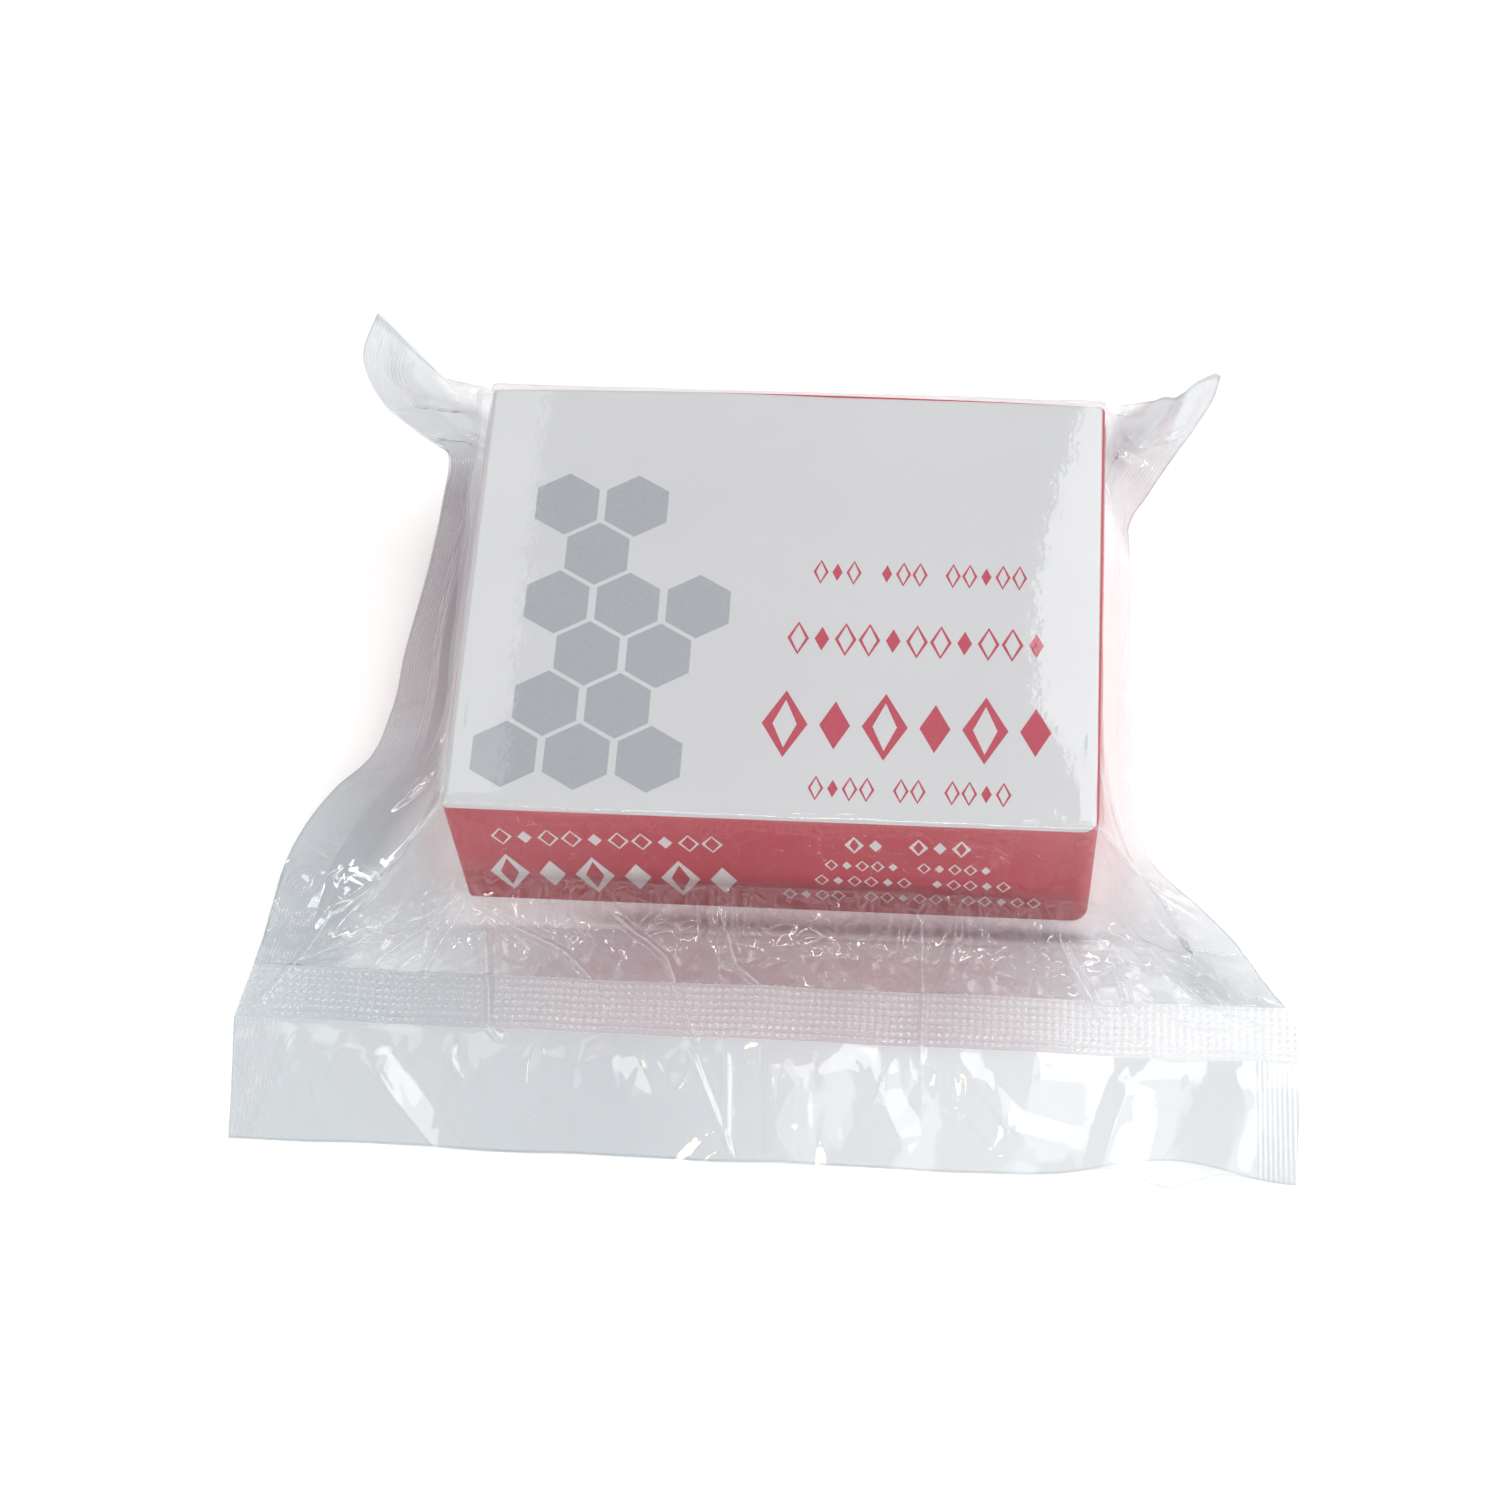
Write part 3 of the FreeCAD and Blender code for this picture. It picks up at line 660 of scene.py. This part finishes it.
def sheet_mesh(name, grid, material, thickness_and_shade, warm=0.0, haze=0.0):
    """A piece of film. Its thickness field says where it is thick and where shade is painted, warm where painted red
    bounce light makes it mauve, and haze where it is milky or has painted highlights along creases.
    """
    rows, columns = grid.shape[:2]
    number = np.arange(rows * columns).reshape(rows, columns)
    quads = np.stack([number[:-1, :-1], number[1:, :-1], number[1:, 1:], number[:-1, 1:]], axis=2).reshape(-1, 4)
    mesh = bpy.data.meshes.new(name)
    mesh.from_pydata((grid.reshape(-1, 3) * MM).tolist(), [], quads.tolist())
    mesh.shade_smooth()
    plain = np.ones((rows, columns))
    for label, values in zip(FILM_FIELDS, (creasing(grid) + haze, thickness_and_shade * plain, warm * plain)):
        mesh.attributes.new(label, "FLOAT", "POINT").data.foreach_set("value", values.ravel().astype(np.float32))
    piece = bpy.data.objects.new(name, mesh)
    bpy.context.scene.collection.objects.link(piece)
    mesh.materials.append(material)
    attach(piece, "root")
    return piece


# ---------------------------------------------------------------- materials
# The film's tints. The bluish tint of thick film also carries the shade painted into the film.
CLEAR_FILM = (0.985, 0.989, 0.993, 1)
DENSE_FILM = (0.50, 0.545, 0.575, 1)
# Mauve: painted red bounce light from the red card.
RED_BOUNCE_FILM = (0.60, 0.50, 0.53, 1)
MILKY_FILM = (0.88, 0.9, 0.93, 1)
FACE_ON_GLOSS = 0.07    # how much of the light a film that is seen face on mirrors


def new_material(name):
    material = bpy.data.materials.new(name)
    material.use_nodes = True
    tree = material.node_tree
    tree.nodes.clear()
    return material, tree


def node(tree, kind, links=(), **values):
    """A node with its values set, and with the inputs named in links joined to other nodes' outputs."""
    made = tree.nodes.new(kind)
    for key, value in values.items():
        setattr(made, key, value)
    for key, source in dict(links).items():
        if isinstance(source, bpy.types.NodeSocket):
            tree.links.new(source, made.inputs[key])
        else:
            made.inputs[key].default_value = source
    return made


def computed(tree, operation, *values, **settings):
    """A number worked out by a Math node."""
    return node(tree, "ShaderNodeMath", dict(enumerate(values)), operation=operation, **settings).outputs[0]


def blended(tree, share, one, other):
    """A colour between two others."""
    return node(tree, "ShaderNodeMix", {0: share, 6: one, 7: other}, data_type="RGBA").outputs[2]


def noise(tree, place, scale, detail, **links):
    """A noise's values over a place."""
    return node(tree, "ShaderNodeTexNoise", {"Vector": place, "Scale": scale, "Detail": detail, **links}).outputs["Fac"]


def film_material():
    """Clear film: mirror-like gloss over a slightly cloudy body, which is bluish where it is thick and where shade is
    painted into it, and mauve where red bounce light is painted into it.
    """
    material, tree = new_material("film")
    place = node(tree, "ShaderNodeTexCoord").outputs["Object"]
    wrinkle = noise(tree, place, 900.0, 2.0)
    bump = node(tree, "ShaderNodeBump", {"Height": wrinkle, "Strength": 0.015, "Distance": 0.0003})
    facing = bump.outputs["Normal"]
    haze, thickness_and_shade, warm = [node(tree, "ShaderNodeAttribute", attribute_name=name).outputs["Fac"] for name in FILM_FIELDS]
    # The tint gives the thick film and the painted shade (bluish), and the painted red bounce light (mauve).
    tint = blended(tree, thickness_and_shade, CLEAR_FILM, blended(tree, warm, DENSE_FILM, RED_BOUNCE_FILM))
    clear = node(tree, "ShaderNodeBsdfTransparent", {"Color": tint})
    gloss = node(tree, "ShaderNodeBsdfGlossy", {"Color": (1, 1, 1, 1), "Roughness": 0.03, "Normal": facing})
    milk = node(tree, "ShaderNodeBsdfDiffuse", {"Color": MILKY_FILM, "Normal": facing})
    edge_on = node(tree, "ShaderNodeLayerWeight", {"Blend": 0.5, "Normal": facing}).outputs["Facing"]
    rise = computed(tree, "POWER", edge_on, 5.0)
    mirror = computed(tree, "MULTIPLY_ADD", rise, 1 - FACE_ON_GLOSS, FACE_ON_GLOSS, use_clamp=True)
    cloudy = computed(tree, "MULTIPLY_ADD", haze, 0.16, computed(tree, "MULTIPLY", thickness_and_shade, 0.05))
    body = node(tree, "ShaderNodeMixShader", {0: cloudy, 1: clear.outputs[0], 2: milk.outputs[0]}).outputs[0]
    whole = node(tree, "ShaderNodeMixShader", {0: mirror, 1: body, 2: gloss.outputs[0]}).outputs[0]
    node(tree, "ShaderNodeOutputMaterial", {"Surface": whole})
    return material


def card_shader(tree, colour, **links):
    """The surface of printed card."""
    shader = node(tree, "ShaderNodeBsdfPrincipled", {"Base Color": colour, "Roughness": 0.5, **links})
    node(tree, "ShaderNodeOutputMaterial", {"Surface": shader.outputs[0]})


def card_material():
    """Red card with an off-white top and a bare grey underside.

    The white wraps on to the left wall, stops short of the right edge, and leaves the back edge red
    towards the right."""
    material, tree = new_material("printed_card")
    place = node(tree, "ShaderNodeTexCoord").outputs["Object"]
    x, y, z = node(tree, "ShaderNodeSeparateXYZ", {0: place}).outputs
    normal = node(tree, "ShaderNodeNewGeometry").outputs["Normal"]
    slant = node(tree, "ShaderNodeSeparateXYZ", {0: normal}).outputs["Z"]
    back_line = node(tree, "ShaderNodeMapRange", {
        "Value": x, "From Min": -20 * MM, "From Max": 5 * MM,
        "To Min": (high[1] - 0.1) * MM, "To Max": (high[1] - 0.72) * MM}).outputs[0]

    def over(value, limit):
        return computed(tree, "GREATER_THAN", value, limit)

    def under(value, limit):
        return computed(tree, "LESS_THAN", value, limit)

    def both(one, other):
        return computed(tree, "MULTIPLY", one, other)

    faces_up = both(over(slant, 0.04), over(z, (high[2] - 0.75) * MM))
    inside = both(under(x, (high[0] - 0.34) * MM), under(y, back_line))
    wraps = both(under(x, (low[0] + 0.05) * MM), over(z, (high[2] - 1.5) * MM))
    is_top = computed(tree, "MAXIMUM", both(faces_up, inside), wraps)
    is_under = under(slant, -0.55)
    speckle = noise(tree, place, 2600.0, 2.0, Roughness=0.7)
    cloud = noise(tree, place, 45.0, 3.0)
    grain = node(tree, "ShaderNodeMapRange", {"Value": speckle, "From Min": 0.3, "From Max": 0.7,
                                             "To Min": 0.0, "To Max": 0.22}).outputs[0]

    def shades(dark, light):
        """A colour that drifts between two shades and has a fine grain."""
        return blended(tree, grain, blended(tree, cloud, dark, light), light)

    red = shades((0.50, 0.02, 0.036, 1), (0.63, 0.055, 0.08, 1))
    white = shades((0.62, 0.62, 0.64, 1), (0.70, 0.70, 0.71, 1))
    grey = (0.52, 0.5, 0.47, 1)
    bump = node(tree, "ShaderNodeBump", {"Height": speckle, "Strength": 0.15, "Distance": 0.0001})
    card_shader(tree, blended(tree, is_top, blended(tree, is_under, red, grey), white), Normal=bump.outputs["Normal"])
    return material


def ink_material(name, dark, light):
    """Ink on card, with a fine grain between two shades."""
    material, tree = new_material(name)
    place = node(tree, "ShaderNodeTexCoord").outputs["Object"]
    card_shader(tree, blended(tree, noise(tree, place, 2200.0, 2.0), dark, light))
    return material


# ---------------------------------------------------------------- print
INK = 0.01          # how far the printed shapes stand off the card


def lozenge(x, y, width, height):
    """Corners of an upright lozenge about its middle."""
    return [(x + width / 2, y), (x, y + height / 2), (x - width / 2, y), (x, y - height / 2)]


def open_lozenge(x, y, width, height, stroke):
    """A lozenge drawn as a line: four bars."""
    slim = 1 - 2 * stroke / width, 1 - 2 * stroke / height
    outer, inner = lozenge(x, y, width, height), lozenge(x, y, width * slim[0], height * slim[1])
    return [[outer[k], outer[(k + 1) % 4], inner[(k + 1) % 4], inner[k]] for k in range(4)]


def lozenge_row(x, y, width, height, count, stroke, gaps=(), filled=3):
    """A row of lozenges that stands where a line of print would be. One in each filled is solid."""
    shapes, pitch = [], width / count
    for number in range(count):
        centre = x + (number + 0.5) * pitch, y + height / 2
        if number in gaps:
            continue
        if number % filled == 1:
            shapes.append(lozenge(*centre, pitch * 0.62, height * 0.72))
        else:
            shapes += open_lozenge(*centre, pitch * 0.92, height, stroke)
    return shapes


def hexagon(x, y, radius):
    return [(x + radius * math.cos(math.radians(60 * k + 30)), y + radius * math.sin(math.radians(60 * k + 30)))
            for k in range(6)]


def print_piece(name, outlines, to_space, material):
    """Flat printed shapes just above the card. to_space takes a place on the print to the row frame."""
    vertices, faces = [], []
    for outline in outlines:
        faces.append(range(len(vertices), len(vertices) + len(outline)))
        vertices += [Vector(to_space(x, y)) * MM for x, y in outline]
    mesh = bpy.data.meshes.new(name)
    mesh.from_pydata(vertices, [], [list(face) for face in faces])
    mesh.materials.append(material)
    piece = bpy.data.objects.new(name, mesh)
    bpy.context.scene.collection.objects.link(piece)
    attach(piece, "root")
    return piece


def on_top(x, y):
    return x, y, high[2] + INK


def on_front(x, z):
    return x, low[1] - INK, z


def printing():
    """Rows of lozenges where the words are, and hexagons where the picture is."""
    red = ink_material("red_ink", (0.46, 0.032, 0.065, 1), (0.57, 0.06, 0.105, 1))
    grey = ink_material("grey_ink", (0.36, 0.385, 0.42, 1), (0.44, 0.46, 0.49, 1))
    pale = ink_material("pale_ink", (0.80, 0.74, 0.73, 1), (0.90, 0.84, 0.83, 1))
    rows = lozenge_row(3.6, 2.4, 27.4, 3.6, 13, 0.36, (3, 7))
    rows += lozenge_row(0.8, -8.0, 33.0, 4.8, 11, 0.45)
    rows += lozenge_row(-1.8, -22.6, 37.4, 9.4, 6, 1.35, (), 2)
    rows += lozenge_row(4.6, -28.4, 25.2, 3.4, 12, 0.34, (4, 7))
    print_piece("print_red_rows", rows, on_top, red)
    radius, pitch_x, pitch_y = 4.674, 9.0829, 7.353
    cells = [hexagon(-33.4 + (column + row % 2 / 2) * pitch_x, -23.6 + row * pitch_y, radius)
             for row, columns in enumerate(((0, 1, 2), (0, 1), (1, 2), (0, 1, 2), (1,), (0, 1))) for column in columns]
    print_piece("print_grey_cells", cells, on_top, grey)
    front = lozenge_row(-35.4, 16.4, 29.6, 4.8, 10, 0.42)
    front += lozenge_row(-36.8, 3.0, 33.2, 10.6, 6, 1.35, (), 2)
    front += lozenge_row(9.2, 17.8, 16.0, 4.8, 6, 0.6, (2,))
    front += lozenge_row(6.6, 12.6, 21.4, 3.2, 11, 0.34, (5,))
    front += lozenge_row(5.2, 8.0, 25.2, 3.2, 12, 0.34, (6,))
    front += lozenge_row(1.0, 3.4, 33.4, 3.2, 16, 0.34, (4, 10))
    print_piece("print_front_rows", front, on_front, pale)


# ---------------------------------------------------------------- the film's pieces
def left_pleat():
    """The narrow pleat that stands out from the box's left top edge, widest at the back."""
    along = np.linspace(0, 1, 121)[:, None]
    out = np.linspace(0, 1, 13)[None, :]
    y = 30.6 - 60.0 * along
    width = 0.8 + 1.0 * (1 - along) ** 1.4 + 0.12 * np.sin(y * 0.5) + 0.3 * along * (1 - along)
    x = -HALF_X + 0.5 - out * (0.5 + width)
    z = LID_TOP + 0.16 - 0.75 * np.clip(out - 0.35, 0, 1) ** 2 * (1 + 0.3 * np.sin(y * 0.31)) + 0 * y
    return np.stack([x, y + 0 * out, z], axis=2)


def pouch():
    """The film. Behind the gathers the upper web has fewer columns on its panels and over the box."""
    film = film_material()
    web_grid, web_base, crest_whitening_and_highlight = upper_web()
    thickness_and_shade, warm = density_and_painted_shade(web_base), painted_red_bounce(web_base)
    ends = [0, *np.cumsum(UPPER_STEPS)]
    ends[-1] += 1
    kept = np.concatenate([np.arange(first, last, step) for first, last, step in zip(ends, ends[1:], (1, 2, 4, 2, 1))])
    back = slice(STARTS[FRONT] + 1), kept
    front = slice(STARTS[FRONT], None)
    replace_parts(sheet_mesh("upper_web", web_grid[back], film, thickness_and_shade[back], warm[back], crest_whitening_and_highlight[back]), "upper_film")
    sheet_mesh("front_gathers", web_grid[front], film, thickness_and_shade[front], warm[front], crest_whitening_and_highlight[front])
    under_grid, under_base = lower_web()
    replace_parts(sheet_mesh("lower_web", under_grid, film, density_and_painted_shade(under_base, False), painted_red_bounce(under_base)), "lower_film")
    # The weld's and the skirt's thickness fields carry painted shade as well as their thickness.
    band, thick, haze = weld_band()
    # The weld's mauve in front of the box is painted red bounce light.
    sheet_mesh("front_weld", band, film, thick, 0.65 * in_front(band[..., 0]), haze)
    for name, lift, seed in (("skirt_upper_ply", 0.6, 1), ("skirt_lower_ply", 0.0, 2)):
        ply, thick, haze = skirt_ply(lift, seed)
        sheet_mesh(name, ply, film, thick, 0.0, haze)
    sheet_mesh("left_pleat", left_pleat(), film, 0.12, 0.0, 0.9)


# ---------------------------------------------------------------- stage, light and camera
def floor():
    """A white floor, which is lifted to white only where it is seen, mirrored, or looked at through the film."""
    mesh = bpy.data.meshes.new("floor")
    reach = 6.0
    corners = [(-reach, -reach, 0), (reach, -reach, 0), (reach, reach, 0), (-reach, reach, 0)]
    mesh.from_pydata(corners, [], [(0, 1, 2, 3)])
    material, tree = new_material("floor")
    pale = node(tree, "ShaderNodeBsdfDiffuse", {"Color": (0.93, 0.93, 0.93, 1)})
    rays = node(tree, "ShaderNodeLightPath").outputs
    seen = computed(tree, "MAXIMUM", rays["Is Camera Ray"], rays["Is Glossy Ray"])
    seen = computed(tree, "MAXIMUM", seen, rays["Is Transmission Ray"])
    glow = node(tree, "ShaderNodeEmission", {"Color": (1, 1, 1, 1), "Strength": computed(tree, "MULTIPLY", seen, 0.24)})
    whole = node(tree, "ShaderNodeAddShader", {0: pale.outputs[0], 1: glow.outputs[0]}).outputs[0]
    node(tree, "ShaderNodeOutputMaterial", {"Surface": whole})
    mesh.materials.append(material)
    plane = bpy.data.objects.new("floor", mesh)
    plane.location.z = -0.00003
    bpy.context.scene.collection.objects.link(plane)


def area_light(name, place, aim, size, radiance, colour=(1, 1, 1)):
    """A soft box whose face has the radiance given."""
    lamp = bpy.data.lights.new(name, "AREA")
    lamp.shape = "RECTANGLE"
    lamp.size, lamp.size_y = size
    lamp.color = colour
    lamp.energy = radiance * math.pi * size[0] * size[1]
    holder = bpy.data.objects.new(name, lamp)
    bpy.context.scene.collection.objects.link(holder)
    holder.location = place
    holder.rotation_euler = (Vector(aim) - Vector(place)).to_track_quat("-Z", "Y").to_euler()


def lights():
    """Soft boxes overhead, which shine in the box's top, lamps at the sides, and small ones for the creases."""
    for name, x, y, size, radiance in (
            ("soft_box", 0.318, 0.375, (0.52, 0.33), 2.32),
            ("soft_box_side", 0.43, 0.075, (0.46, 0.27), 2.32),
            ("soft_box_dim", 0.129, 0.075, (0.142, 0.27), 0.8),
            ("left_soft", -0.30, 0.372, (0.33, 0.25), 0.97)):
        area_light(name, (x, y, 0.62), (x, y, 0.0), size, radiance)
    area_light("side_box", (0.85, 0.02, 0.34), (0, 0, 0.01), (0.4, 0.4), 2.3)
    area_light("left_strip", (-0.9, -0.12, 0.10), (0, 0, 0.01), (0.5, 0.18), 2.2)
    area_light("front_fill", (-0.15, -0.8, 0.4), (0, 0, 0.01), (0.9, 0.45), 0.44)
    area_light("front_strip", (0.22, -0.47, 0.64), (0, 0, 0.01), (0.75, 0.05), 13.0)
    area_light("corner_strip", (-0.42, -0.25, 0.5), (-0.05, -0.04, 0.0), (0.03, 0.3), 12.0)
    area_light("warm_lamp", (-0.02, 0.1, 0.6), (0, 0, 0.01), (0.018, 0.028), 16.0, (1.0, 0.76, 0.36))
    for number, x in enumerate((-0.16, 0.0, 0.14)):
        area_light(f"warm_strip_{number}", (x, -0.47, 0.72), (0, 0, 0.01), (0.08, 0.03), 12.0, (1.0, 0.72, 0.3))
    world = bpy.data.worlds.new("room")
    bpy.context.scene.world = world
    world.use_nodes = True
    tree = world.node_tree
    background = tree.nodes["Background"]
    background.inputs["Color"].default_value = (0.96, 0.98, 1.0, 1)
    way = node(tree, "ShaderNodeTexCoord").outputs["Generated"]
    rise = node(tree, "ShaderNodeSeparateXYZ", {0: way}).outputs["Z"]
    strength = node(tree, "ShaderNodeMapRange", {"Value": rise, "To Min": 0.29, "To Max": 0.575}).outputs[0]
    tree.links.new(strength, background.inputs["Strength"])


def camera():
    """The photograph's view of the pack, with a 72 mm lens on a 36 mm frame."""
    yaw, elevation, roll = (math.radians(angle) for angle in (8.794, 62.472, -5.664))
    back = Vector((math.sin(yaw) * math.cos(elevation), -math.cos(yaw) * math.cos(elevation), math.sin(elevation)))
    level = (-back).cross(Vector((0, 0, 1))).normalized()
    upright = level.cross(-back)
    right = math.cos(roll) * level + math.sin(roll) * upright
    up = -math.sin(roll) * level + math.cos(roll) * upright
    data = bpy.data.cameras.new("camera")
    data.lens, data.sensor_width = 72.0, 36.0
    data.clip_start, data.clip_end = 0.01, 30.0
    holder = bpy.data.objects.new("camera", data)
    bpy.context.scene.collection.objects.link(holder)
    turn = Matrix((right, up, back)).transposed().to_4x4()
    place = Vector((-4.26, -12.02, 8.15)) * MM + back * 0.39344
    holder.matrix_world = Matrix.Translation(place) @ turn
    bpy.context.scene.camera = holder


camera()
floor()
lights()
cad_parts["carton"].data.materials.clear()
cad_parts["carton"].data.materials.append(card_material())
printing()
pouch()

view = bpy.context.scene.view_settings
view.view_transform = "Standard"
